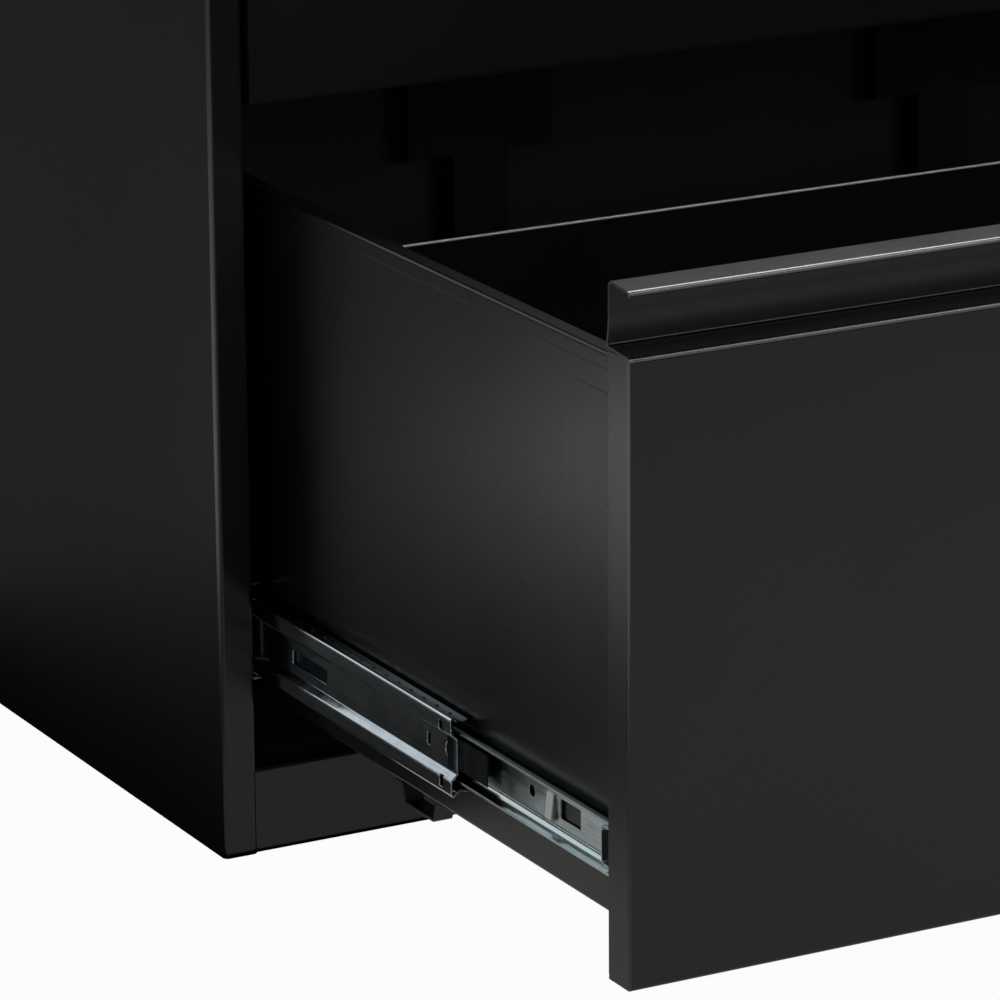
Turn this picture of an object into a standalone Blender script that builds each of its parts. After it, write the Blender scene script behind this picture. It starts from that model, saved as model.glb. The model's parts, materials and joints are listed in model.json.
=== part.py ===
"""A two-drawer lateral filing cabinet in black painted sheet steel, with its lower drawer pulled out.

Metres, +Z up. Everything hangs from one empty in the middle of the cabinet's front plane at floor level, so below
it x is 0 at the middle of the width, y is the depth behind the front plane, and z is the height above the floor.
Drawer pieces are modelled once, shut, in the lower bay, and their parent empties carry them to their places.
"""

import math

import bmesh
import bpy
from mathutils import Matrix, Vector

# Driving dimensions of the cabinet
WIDTH = 1.067
DEPTH = 0.473
HEIGHT = 0.711
PITCH = 0.2985  # from one drawer to the next
OPEN = 0.3365  # how far the lower drawer stands out
HALF = WIDTH / 2
LEFT, RIGHT = -1, 1

# Sheet metal
SHEET = 0.0012
DRAWER_SHEET = 0.0010
FOLD = 0.0025  # outer radius of a fold
DRAWER_FOLD = 0.0018
FOLD_STEPS = 3
GAP = 0.0003  # between pieces that touch

# Case
JAMB_WIDTH = 0.017
JAMB_RETURN = 0.008
RAIL_HEIGHT = 0.041
CAP_HEIGHT = 0.025
CAP_ROUND = 0.0025
REAR_LIP = 0.014
BACK_FRONT = 0.4701  # depth of the back panel's inner face
TOP_RAIL_BOTTOM = 0.6455
CASE_TOP = HEIGHT - CAP_HEIGHT - GAP
PAN_FLOOR = 0.008
POST_DEPTHS = {"front": (0.032, 0.072), "rear": (0.400, 0.440)}
POST_WEB = 0.0198  # from the side's outer face to the post's inner face
GLIDE_INSET = 0.045
GLIDE_DEPTHS = {"front": 0.055, "rear": 0.420}
GLIDE_STEM_RADIUS = 0.004

# Drawer
FRONT_INSET = 0.020  # from the case's outer side to the drawer front's edge
FRONT_BOTTOM = 0.0475
FACE_TOP = 0.3124
LEDGE_BACK = 0.0182
LEDGE_RISE = 0.0015
LIP_TOP = 0.3408
LIP_FALL = 0.0013
LIP_HEM = 0.0045
SIDE_INSET = 0.033
SIDE_BOTTOM = 0.066
SIDE_TOP = 0.3038
SIDE_BACK = 0.418
SIDE_HEM = 0.009
BACK_TOP = 0.252

# Slides, measured from the side's outer face, around one height
SLIDE_HEIGHT = 0.0985
MIDDLE_SHARE = 0.6  # of the drawer's travel
OUTER_CAGE_SHARE = MIDDLE_SHARE / 2
INNER_CAGE_SHARE = (1 + MIDDLE_SHARE) / 2
OUTER_SPAN = (0.020, 0.420)
MIDDLE_SPAN = (0.0249, 0.420)
INNER_SPAN = (0.0265, 0.419)
OUTER_CAGE_SPAN = (0.145, 0.295)
INNER_CAGE_SPAN = (0.096, 0.330)
TONGUE_SPAN = (0.066, 0.0966)  # the plain strip that leads the inner ball cage
TONGUE_HALF = 0.008
SLIDE_FOLD = 0.0016

# Lock
LOCK_INSET = 0.034
LOCK_HEIGHT = 0.6658
PLUG_RADIUS = 0.0080
HOUSING_RADIUS = 0.0094
CAM_THROW = 0.0085
PIN_RADIUS = 0.0015
BAR_DEPTH = (0.025, 0.027)
NOSE_TOP = 0.211
KEEPER_BOTTOM = 0.214

BLACK = ((0.016, 0.017, 0.017), 0.42, 0.0)
ZINC = ((0.62, 0.65, 0.66), 0.30, 1.0)
DARK_STEEL = ((0.10, 0.12, 0.14), 0.45, 0.9)
CHROME = ((0.75, 0.75, 0.76), 0.15, 1.0)
RAW_STEEL = ((0.25, 0.25, 0.26), 0.6, 0.8)
RUBBER = ((0.03, 0.03, 0.03), 0.8, 0.0)


def clear_scene():
    for item in list(bpy.data.objects):
        bpy.data.objects.remove(item, do_unlink=True)


def new_collection(name):
    collection = bpy.data.collections.new(name)
    bpy.context.scene.collection.children.link(collection)
    return collection


def empty(name, location, parent=None):
    item = bpy.data.objects.new(name, None)
    item.location = location
    item.parent = parent
    item.empty_display_size = 0.02
    PIECES.objects.link(item)
    return item


def finish(name, look):
    colour, roughness, metallic = look
    material = bpy.data.materials.new(name + "_finish")
    material.use_nodes = True
    shader = material.node_tree.nodes["Principled BSDF"]
    shader.inputs["Base Color"].default_value = (*colour, 1.0)
    shader.inputs["Roughness"].default_value = roughness
    shader.inputs["Metallic"].default_value = metallic
    return material


def add_object(name, shape, parent, look=None):
    """A sub-part if it has a look, or else a helper that is kept out of the object."""
    mesh = bpy.data.meshes.new(name)
    shape.to_mesh(mesh)
    shape.free()
    item = bpy.data.objects.new(name, mesh)
    item.parent = parent
    if look is None:
        item.hide_render = True
        item.display_type = "WIRE"
        HELPERS.objects.link(item)
    else:
        mesh.materials.append(finish(name, look))
        PIECES.objects.link(item)
    return item


def box_shape(low, high):
    shape = bmesh.new()
    bmesh.ops.create_cube(shape, size=1.0)
    size = Vector(high) - Vector(low)
    middle = (Vector(high) + Vector(low)) / 2
    bmesh.ops.transform(shape, matrix=Matrix.Translation(middle) @ Matrix.Diagonal(size).to_4x4(), verts=shape.verts)
    return shape


def rod_shape(radius, depth_start, depth_end, x=0.0, z=0.0, segments=24):
    """A cylinder along y."""
    shape = bmesh.new()
    turn = Matrix.Rotation(math.pi / 2, 4, "X")
    move = Matrix.Translation((x, (depth_start + depth_end) / 2, z))
    bmesh.ops.create_cone(
        shape, cap_ends=True, segments=segments, radius1=radius, radius2=radius,
        depth=depth_end - depth_start, matrix=move @ turn,
    )
    return shape


def box(name, low, high, parent, look=None):
    return add_object(name, box_shape(low, high), parent, look)


def boolean(item, helper, operation):
    modifier = item.modifiers.new(operation.lower() + "_" + helper.name, "BOOLEAN")
    modifier.operation = operation
    modifier.solver = "EXACT"
    modifier.object = helper


def rounded(outline, radius, thickness):
    """The outline with each corner turned into an arc, for a sheet that lies to the left of it."""
    points = [Vector(outline[0])]
    for before, corner, after in zip(outline, outline[1:], outline[2:]):
        before, corner, after = Vector(before), Vector(corner), Vector(after)
        arriving = (corner - before).normalized()
        leaving = (after - corner).normalized()
        cross = arriving.x * leaving.y - arriving.y * leaving.x
        turn = math.atan2(cross, arriving.dot(leaving))
        bend = radius if turn > 0 else max(radius - thickness, GAP)
        reach = bend * math.tan(abs(turn) / 2)
        side = Vector((-arriving.y, arriving.x)) * math.copysign(1, turn)
        centre = corner - arriving * reach + side * bend
        for step in range(FOLD_STEPS + 1):
            part = turn * step / FOLD_STEPS
            spoke = -side * bend
            spoke.rotate(Matrix.Rotation(part, 2))
            points.append(centre + spoke)
    points.append(Vector(outline[-1]))
    return points


def strip_shape(points, along, start, end):
    """An open surface: the outline drawn out along an axis, its faces looking to the right of the outline."""
    drawn = "XYZ".index(along)
    across, up = [axis for axis in range(3) if axis != drawn]
    shape = bmesh.new()
    rows = []
    for point in points:
        row = []
        for place in (start, end):
            corner = [0.0, 0.0, 0.0]
            corner[across], corner[up], corner[drawn] = point.x, point.y, place
            row.append(shape.verts.new(corner))
        rows.append(row)
    for row, following in zip(rows, rows[1:]):
        corners = [row[0], following[0], following[1], row[1]]
        shape.faces.new(corners[::-1] if along == "Y" else corners)
    return shape


def folded(name, outline, along, span, parent, look=None, thickness=SHEET, radius=FOLD):
    """Sheet metal folded along straight lines. The sheet lies to the left of its outline."""
    shape = strip_shape(rounded(outline, radius, thickness), along, *span)
    item = add_object(name, shape, parent, look)
    solidify = item.modifiers.new("sheet", "SOLIDIFY")
    solidify.thickness = thickness
    solidify.offset = -1
    solidify.use_even_offset = True
    item.data.shade_smooth()
    item.data.set_sharp_from_angle(angle=math.radians(40))
    return item


def paired(outline, side):
    """An outline of (distance from the case's outer side, other) on the given side of the cabinet."""
    placed = [(side * (HALF - inset), other) for inset, other in outline]
    return placed if side == LEFT else placed[::-1]


def placed_box(name, insets, depths, heights, side, parent, look=None):
    edges = sorted(side * (HALF - inset) for inset in insets)
    return box(name, (edges[0], depths[0], heights[0]), (edges[1], depths[1], heights[1]), parent, look)


def turned(name, profile, location, parent, look, rotation=(0.0, 0.0, 0.0)):
    """A profile of (radius, height), from the axis out, down and back to the axis, turned about z."""
    mesh = bpy.data.meshes.new(name)
    mesh.from_pydata([(radius, 0.0, height) for radius, height in profile],
                     [(index, index + 1) for index in range(len(profile) - 1)], [])
    mesh.materials.append(finish(name, look))
    item = bpy.data.objects.new(name, mesh)
    item.location = location
    item.rotation_euler = rotation
    item.parent = parent
    PIECES.objects.link(item)
    screw = item.modifiers.new("turn", "SCREW")
    screw.steps = screw.render_steps = 24
    screw.use_merge_vertices = True
    screw.merge_threshold = 0.00001
    return item


def make_side_panel(name, side, case):
    """The side, folded at the front into the jamb beside the drawers and at the back into a lip."""
    outline = [(REAR_LIP, DEPTH), (0.0, DEPTH), (0.0, 0.0), (JAMB_WIDTH, 0.0), (JAMB_WIDTH, JAMB_RETURN)]
    folded(name + "_side_panel", paired(outline, side), "Z", (0.0, CASE_TOP), case, BLACK)


def make_top_cap(case):
    cap = box("top_cap", (-HALF, 0.0, HEIGHT - CAP_HEIGHT), (HALF, DEPTH, HEIGHT), case, BLACK)
    bevel = cap.modifiers.new("rounded_edges", "BEVEL")
    bevel.width = CAP_ROUND
    bevel.segments = FOLD_STEPS
    hollow = box(
        "cap_hollow", (-HALF + SHEET, SHEET, HEIGHT - 2 * CAP_HEIGHT),
        (HALF - SHEET, DEPTH - SHEET, HEIGHT - SHEET), case,
    )
    skirt = box(
        "cap_bottom_cut", (-WIDTH, -DEPTH, HEIGHT - 2 * CAP_HEIGHT),
        (WIDTH, 2 * DEPTH, HEIGHT - CAP_HEIGHT), case,
    )
    boolean(cap, hollow, "DIFFERENCE")
    # The cap is made a little too tall and cut level, so that only its upper edges stay rounded.
    for vertex in cap.data.vertices:
        if vertex.co.z < HEIGHT - CAP_HEIGHT / 2:
            vertex.co.z -= 2 * CAP_ROUND
    boolean(cap, skirt, "DIFFERENCE")


def make_rails(case):
    inner = HALF - JAMB_WIDTH - GAP
    side_to_side = (-inner, inner)
    low = [(0.030, RAIL_HEIGHT - 0.012), (0.030, RAIL_HEIGHT), (0.0, RAIL_HEIGHT), (0.0, 0.0), (0.025, 0.0)]
    folded("bottom_rail", low, "X", side_to_side, case, BLACK)
    high = [(0.012, CASE_TOP), (0.0, CASE_TOP), (0.0, TOP_RAIL_BOTTOM), (0.020, TOP_RAIL_BOTTOM)]
    top = folded("top_rail", high, "X", side_to_side, case, BLACK)
    hole = add_object(
        "lock_hole", rod_shape(HOUSING_RADIUS + GAP, -0.01, 0.01, RIGHT * (HALF - LOCK_INSET), LOCK_HEIGHT), case,
    )
    boolean(top, hole, "DIFFERENCE")
    reach = HALF - FOLD - GAP
    back = BACK_FRONT - GAP
    rear = [(back - 0.020, 0.0), (back, 0.0), (back, RAIL_HEIGHT), (back - 0.025, RAIL_HEIGHT), (back - 0.025, 0.029)]
    folded("rear_rail", rear, "X", (-reach, reach), case, BLACK)


def make_back_panel(case):
    reach = HALF - FOLD - GAP
    box("back_panel", (-reach, BACK_FRONT, 0.0005), (reach, BACK_FRONT + SHEET, CASE_TOP), case, BLACK)


def make_base_pan(case):
    """A tray between the two sides that holds the glides, with a hole for each stem."""
    edge = SHEET + GAP
    outline = [(-HALF + edge, 0.030), (-HALF + edge, PAN_FLOOR), (HALF - edge, PAN_FLOOR), (HALF - edge, 0.030)]
    pan = folded("base_pan", outline, "Y", (0.032, 0.440), case, BLACK)
    for end, depth in GLIDE_DEPTHS.items():
        for side in (LEFT, RIGHT):
            hole = bmesh.new()
            bmesh.ops.create_cone(
                hole, cap_ends=True, segments=16, radius1=GLIDE_STEM_RADIUS + GAP, radius2=GLIDE_STEM_RADIUS + GAP,
                depth=0.02, matrix=Matrix.Translation((side * (HALF - GLIDE_INSET), depth, PAN_FLOOR)),
            )
            boolean(pan, add_object(f"pan_hole_{end}_{side}", hole, case), "DIFFERENCE")


def make_glides(case):
    """Levelling feet: a plastic pad on a screw that goes up through the base pan."""
    pad, neck, top = 0.016, 0.0065, 0.032
    profile = [
        (0.0, top), (GLIDE_STEM_RADIUS, top), (GLIDE_STEM_RADIUS, neck), (pad - 0.004, neck), (pad, 0.003),
        (pad, 0.001), (pad - 0.001, 0.0), (0.0, 0.0),
    ]
    for end, depth in GLIDE_DEPTHS.items():
        for side, word in ((LEFT, "left"), (RIGHT, "right")):
            turned(f"{end}_{word}_glide", profile, (side * (HALF - GLIDE_INSET), depth, 0.0), case, RUBBER)


def make_counterweight(case):
    floor = PAN_FLOOR + SHEET + GAP
    weight = box("counterweight", (-0.30, 0.330, floor), (0.30, 0.410, floor + 0.020), case, RAW_STEEL)
    bevel = weight.modifiers.new("sawn_edges", "BEVEL")
    bevel.width = 0.001
    bevel.segments = 1


def make_posts(case):
    """Channels inside each side, which the slides are fixed to."""
    outer = SHEET + GAP
    for end, (near, far) in POST_DEPTHS.items():
        outline = [(outer, near), (POST_WEB, near), (POST_WEB, far), (outer, far)]
        for side, word in ((LEFT, "left"), (RIGHT, "right")):
            span = (RAIL_HEIGHT + 0.001, CASE_TOP + 0.012)
            folded(f"{end}_{word}_post", paired(outline, side), "Z", span, case, BLACK)


def make_rear_brackets(case):
    """T-shaped brackets that stand off the back panel, high up behind the lower drawer."""
    plate = (0.455, 0.455 + SHEET)
    for word, middle in (("left", -0.157), ("right", 0.1355)):
        name = f"rear_{word}_bracket"
        item = box(name, (middle - 0.044, plate[0], 0.188), (middle + 0.044, plate[1], 0.238), case, BLACK)
        stem = box(name + "_stem", (middle - 0.0165, plate[0] + 0.0001, 0.090),
                   (middle + 0.0165, plate[1] + 0.0001, 0.200), case)
        foot = box(name + "_foot", (middle - 0.012, plate[0] + 0.0006, 0.100),
                   (middle + 0.012, BACK_FRONT - GAP, 0.160), case)
        boolean(item, stem, "UNION")
        boolean(item, foot, "UNION")


def slide_outline(points):
    return [(inset, SLIDE_HEIGHT + height) for inset, height in points]


def make_outer_member(name, side, case):
    outline = slide_outline([(0.0301, 0.02285), (0.0201, 0.02285), (0.0201, -0.02285), (0.0301, -0.02285)])
    return folded(name, paired(outline, side), "Y", OUTER_SPAN, case, ZINC, radius=SLIDE_FOLD)


def make_middle_member(name, side, parent):
    """A channel whose web is pressed inward along its middle."""
    web, pressed = 0.0226, 0.0238
    half, step_out, step_in = 0.0179, 0.0102, 0.0086
    upper = [(0.0310, half), (web, half), (web, step_out), (pressed, step_in)]
    outline = slide_outline(upper + [(inset, -height) for inset, height in reversed(upper)])
    return folded(name, paired(outline, side), "Y", MIDDLE_SPAN, parent, ZINC, thickness=0.0011, radius=SLIDE_FOLD)


def make_inner_member(name, side, parent):
    """The channel on the drawer's side, open towards the case."""
    outline = slide_outline([(0.0260, -0.0116), (0.0325, -0.0116), (0.0325, 0.0116), (0.0260, 0.0116)])
    return folded(name, paired(outline, side), "Y", INNER_SPAN, parent, ZINC, thickness=0.0011, radius=SLIDE_FOLD)


def make_cage(name, side, parent, web, reach, half, span):
    """A ball retainer: a thin channel whose edges carry the ball rows."""
    outline = slide_outline([(reach, half), (web, half), (web, -half), (reach, -half)])
    return folded(name, paired(outline, side), "Y", span, parent, DARK_STEEL, thickness=0.0005, radius=0.0009)


def make_inner_cage(name, side, parent):
    """The ball cage on the drawer member, with a narrow tongue in front of its balls."""
    web = 0.0252
    cage = make_cage(name, side, parent, web, 0.0300, 0.01455, INNER_CAGE_SPAN)
    heights = (SLIDE_HEIGHT - TONGUE_HALF, SLIDE_HEIGHT + TONGUE_HALF)
    tongue = placed_box(name + "_tongue", (web + 0.00005, web + 0.00045), TONGUE_SPAN, heights, side, parent)
    boolean(cage, tongue, "UNION")


def make_slides(drawer, lift, opened, case, drawer_empty):
    middle = empty(drawer + "_middle_slide", (0, -opened * MIDDLE_SHARE, lift), case)
    outer_cages = empty(drawer + "_outer_cages", (0, -opened * OUTER_CAGE_SHARE, lift), case)
    inner_cages = empty(drawer + "_inner_cages", (0, -opened * INNER_CAGE_SHARE, lift), case)
    fixed = empty(drawer + "_fixed_slide", (0, 0, lift), case)
    for side, word in ((LEFT, "left"), (RIGHT, "right")):
        start = f"{drawer}_{word}_"
        make_outer_member(start + "cabinet_member", side, fixed)
        make_middle_member(start + "middle_member", side, middle)
        make_inner_member(start + "drawer_member", side, drawer_empty)
        make_cage(start + "outer_ball_cage", side, outer_cages, 0.02165, 0.0280, 0.0201, OUTER_CAGE_SPAN)
        make_inner_cage(start + "inner_ball_cage", side, inner_cages)


def make_drawer_front(drawer, parent):
    """A pan whose top edge goes back as a ledge, up as a wall and forward as a lip: the full-width pull."""
    edge = HALF - FRONT_INSET
    lip_under = LIP_TOP - SHEET
    hem_back = 0.0004 + SHEET
    outline = [
        (hem_back, lip_under - LIP_FALL - LIP_HEM + SHEET), (hem_back, lip_under - LIP_FALL),
        (LEDGE_BACK, lip_under), (LEDGE_BACK, FACE_TOP + LEDGE_RISE),
        (0.0, FACE_TOP), (0.0, FRONT_BOTTOM), (LEDGE_BACK, FRONT_BOTTOM),
    ]
    front = folded(drawer + "_drawer_front", outline, "X", (-edge, edge), parent, BLACK)
    for side, word in ((LEFT, "left"), (RIGHT, "right")):
        end = placed_box(
            f"{drawer}_front_{word}_end", (FRONT_INSET + 0.00005, FRONT_INSET + SHEET), (0.0006, LEDGE_BACK - 0.0001),
            (FRONT_BOTTOM + 0.0006, FACE_TOP - 0.0004), side, parent,
        )
        boolean(front, end, "UNION")


def make_front_liner(drawer, parent):
    reach = HALF - FRONT_INSET - 0.0006
    low = (-reach, LEDGE_BACK + GAP, FRONT_BOTTOM + 0.0015)
    box(drawer + "_front_liner", low, (reach, LEDGE_BACK + GAP + DRAWER_SHEET, FACE_TOP - 0.002), parent, BLACK)


def make_drawer_side(drawer, word, side, parent):
    """The side's top edge turns inward and down, and its bottom edge turns inward under the drawer bottom."""
    hem = SIDE_INSET + SIDE_HEM
    outline = [
        (hem, SIDE_TOP - 0.008), (hem, SIDE_TOP), (SIDE_INSET, SIDE_TOP), (SIDE_INSET, SIDE_BOTTOM),
        (SIDE_INSET + 0.013, SIDE_BOTTOM),
    ]
    start = LEDGE_BACK + SHEET + 2 * GAP
    folded(
        f"{drawer}_drawer_{word}_side", paired(outline, side), "Y", (start, SIDE_BACK), parent, BLACK,
        thickness=DRAWER_SHEET, radius=DRAWER_FOLD,
    )


def make_drawer_bottom(drawer, parent):
    reach = HALF - SIDE_INSET - DRAWER_SHEET - GAP - 0.001
    floor = SIDE_BOTTOM + DRAWER_SHEET + GAP
    low = (-reach, LEDGE_BACK + SHEET + 2 * GAP, floor)
    box(drawer + "_drawer_bottom", low, (reach, SIDE_BACK, floor + DRAWER_SHEET), parent, BLACK)


def make_drawer_back(drawer, parent):
    reach = HALF - SIDE_INSET - DRAWER_SHEET - GAP
    floor = SIDE_BOTTOM + 2 * DRAWER_SHEET + 2 * GAP
    outline = [(SIDE_BACK - 0.004, BACK_TOP), (SIDE_BACK - DRAWER_SHEET, BACK_TOP), (SIDE_BACK - DRAWER_SHEET, floor)]
    folded(
        drawer + "_drawer_back", outline[::-1], "X", (-reach, reach), parent, BLACK, thickness=DRAWER_SHEET,
        radius=DRAWER_FOLD,
    )


def make_catch_loop(drawer, parent):
    """A strap bent into a shallow loop under the left side's bottom flange."""
    top = SIDE_BOTTOM - GAP - SHEET
    low = top - 0.0088
    outline = [(0.189, top), (0.195, top), (0.197, low), (0.224, low), (0.227, top), (0.233, top)]
    low_x = -HALF + SIDE_INSET + 0.001
    folded(drawer + "_catch_loop", outline, "X", (low_x, low_x + 0.009), parent, BLACK, radius=0.0020)


def make_keeper(drawer, parent):
    """The angle on the right side that the lock bar's nose stands in front of when it is locked."""
    web = HALF - SIDE_INSET + GAP
    outline = [(web, 0.052), (web, 0.030), (HALF - 0.024, 0.030)]
    span = (KEEPER_BOTTOM, KEEPER_BOTTOM + 0.016)
    folded(drawer + "_keeper", outline, "Z", span, parent, ZINC, thickness=0.0015, radius=0.002)


def make_drawer(drawer, lift, opened, case):
    place = empty(drawer + "_drawer_slide", (0, -opened, lift), case)
    make_drawer_front(drawer, place)
    make_front_liner(drawer, place)
    make_drawer_side(drawer, "left", LEFT, place)
    make_drawer_side(drawer, "right", RIGHT, place)
    make_drawer_bottom(drawer, place)
    make_drawer_back(drawer, place)
    make_catch_loop(drawer, place)
    make_keeper(drawer, place)
    make_slides(drawer, lift, opened, case, place)


def make_lock_housing(axis):
    """The fixed ring that the plug turns in."""
    bore = PLUG_RADIUS + GAP
    flange = HOUSING_RADIUS + 0.0022
    profile = [
        (bore, 0.002), (flange - 0.0008, 0.002), (flange, 0.0012), (flange, GAP), (HOUSING_RADIUS, GAP),
        (HOUSING_RADIUS, -0.018), (bore, -0.018), (bore, 0.002),
    ]
    turned("lock_housing", profile, (0, 0, 0), axis, CHROME, rotation=(math.pi / 2, 0, 0))


def make_lock_plug(axis):
    profile = [(0.0, 0.0016), (PLUG_RADIUS - 0.0005, 0.0016), (PLUG_RADIUS, 0.0011), (PLUG_RADIUS, -0.022), (0.0, -0.022)]
    plug = turned("lock_plug", profile, (0, 0, 0), axis, CHROME, rotation=(math.pi / 2, 0, 0))
    keyway = box("keyway", (-0.0008, -0.01, -0.004), (0.0008, 0.005, 0.004), axis)
    boolean(plug, keyway, "DIFFERENCE")


def make_lock_cam(axis):
    """The arm behind the plug. Its pin points down and to the left, and lifts the lock bar as it turns."""
    near, far = 0.022 + GAP, 0.0245
    lean = Matrix.Rotation(math.radians(45), 4, "Y")
    shape = box_shape((-CAM_THROW - 0.0035, near, -0.003), (0.005, far, 0.003))
    bmesh.ops.transform(shape, matrix=lean.inverted(), verts=shape.verts)
    cam = add_object("lock_cam", shape, axis, ZINC)
    drop = CAM_THROW * math.sqrt(0.5)
    pin = add_object("cam_pin", rod_shape(PIN_RADIUS, near + 0.0005, 0.029, -drop, -drop, segments=16), axis)
    boolean(cam, pin, "UNION")


def make_lock_bar(case):
    """The flat bar inside the right jamb, with a nose for each drawer and a slot for the cam's pin."""
    near, far = BAR_DEPTH
    axis_x = HALF - LOCK_INSET
    bar = placed_box("lock_bar", (0.008, 0.016), BAR_DEPTH, (0.190, LOCK_HEIGHT + 0.004), RIGHT, case, ZINC)
    top = box(
        "bar_top", (axis_x - 0.014, near + 0.0001, LOCK_HEIGHT - 0.013),
        (HALF - 0.010, far - 0.0001, LOCK_HEIGHT + 0.003), case,
    )
    boolean(bar, top, "UNION")
    for drawer, lift in (("lower", 0.0), ("upper", PITCH)):
        nose = placed_box(
            f"{drawer}_nose", (0.010, 0.027), (near + 0.0002, far - 0.0002), (NOSE_TOP - 0.012 + lift, NOSE_TOP + lift),
            RIGHT, case,
        )
        boolean(bar, nose, "UNION")
    drop = CAM_THROW * math.sqrt(0.5)
    clearance = PIN_RADIUS + 0.0008
    slot = box(
        "bar_slot", (axis_x - CAM_THROW - clearance, near - 0.002, LOCK_HEIGHT - drop - clearance),
        (axis_x - drop + clearance, far + 0.002, LOCK_HEIGHT - drop + clearance), case,
    )
    boolean(bar, slot, "DIFFERENCE")


def make_lock(case):
    axis = empty("lock_axis", (HALF - LOCK_INSET, 0.0, LOCK_HEIGHT), case)
    make_lock_housing(axis)
    make_lock_plug(axis)
    make_lock_cam(axis)
    make_lock_bar(case)


def make_cabinet():
    # The origin of the whole is under the middle of everything, the drawer that stands out included.
    case = empty("filing_cabinet", (0, (OPEN - DEPTH) / 2, 0))
    make_side_panel("left", LEFT, case)
    make_side_panel("right", RIGHT, case)
    make_top_cap(case)
    make_rails(case)
    make_back_panel(case)
    make_base_pan(case)
    make_glides(case)
    make_counterweight(case)
    make_posts(case)
    make_rear_brackets(case)
    make_drawer("lower", 0.0, OPEN, case)
    make_drawer("upper", PITCH, 0.0, case)
    make_lock(case)


clear_scene()
PIECES = new_collection("filing_cabinet_pieces")
HELPERS = new_collection("filing_cabinet_helpers")
make_cabinet()
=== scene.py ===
"""The looks of a two-drawer lateral filing cabinet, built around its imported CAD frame.

Metres, in the frame's own axes: +X along the width, +Y from the front to the back, +Z up.
Folded sheets are given by outlines of (inset, depth or height) and are drawn out along an axis. Insets are
counted from the case's side, depths from the case's front plane, and heights from the floor, or within a
slide from the slide's own middle.
"""

import json
import math

import bmesh
import bpy
from mathutils import Euler, Matrix, Vector


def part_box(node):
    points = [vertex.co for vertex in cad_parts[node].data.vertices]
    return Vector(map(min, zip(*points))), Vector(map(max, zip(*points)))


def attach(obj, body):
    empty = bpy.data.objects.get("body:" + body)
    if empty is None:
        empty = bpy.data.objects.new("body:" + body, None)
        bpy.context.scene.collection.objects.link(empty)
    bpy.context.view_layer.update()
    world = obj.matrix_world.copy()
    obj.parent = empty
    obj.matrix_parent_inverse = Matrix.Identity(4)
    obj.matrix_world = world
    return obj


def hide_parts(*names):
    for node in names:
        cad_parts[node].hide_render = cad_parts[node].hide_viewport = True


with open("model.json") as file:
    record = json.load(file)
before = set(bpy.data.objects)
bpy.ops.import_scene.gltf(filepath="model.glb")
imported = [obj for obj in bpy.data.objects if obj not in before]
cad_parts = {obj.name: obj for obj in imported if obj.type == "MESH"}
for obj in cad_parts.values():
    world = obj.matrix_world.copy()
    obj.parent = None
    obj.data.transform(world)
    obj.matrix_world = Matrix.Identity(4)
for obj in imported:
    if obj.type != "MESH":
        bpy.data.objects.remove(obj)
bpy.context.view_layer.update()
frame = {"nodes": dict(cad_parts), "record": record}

RECORD = frame["record"]
BODY_OF = {node: body for body, nodes in RECORD["behaviour"]["bodies"].items() for node in nodes}
SLOT_OF = {row["node"]: row["material_slot"] for row in RECORD["subparts"]}

GAP = 0.0003  # between neighbouring pieces

# Sizes of the case, from the frame
CASE_LOW, CASE_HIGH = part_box("left_side_panel")
HALF = -CASE_LOW.x
FRONT = CASE_LOW.y
DEPTH = CASE_HIGH.y - CASE_LOW.y
CASE_TOP = CASE_HIGH.z
JAMB_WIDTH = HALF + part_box("bottom_rail")[0].x - GAP
LEFT, RIGHT = -1, 1
SIDES = ((LEFT, "left"), (RIGHT, "right"))

# Sheet metal
SHEET = 0.0012
DRAWER_SHEET = 0.0010
FOLD = 0.0025  # outer radius of a fold
DRAWER_FOLD = 0.0018
ARC_STEPS = 7  # to a quarter turn
SLOW_BEND_STEP = 0.0015  # longest step round a bend of large radius
EDGE = 0.00016  # rounding of a cut edge


# ---------------------------------------------------------------- materials

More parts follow.
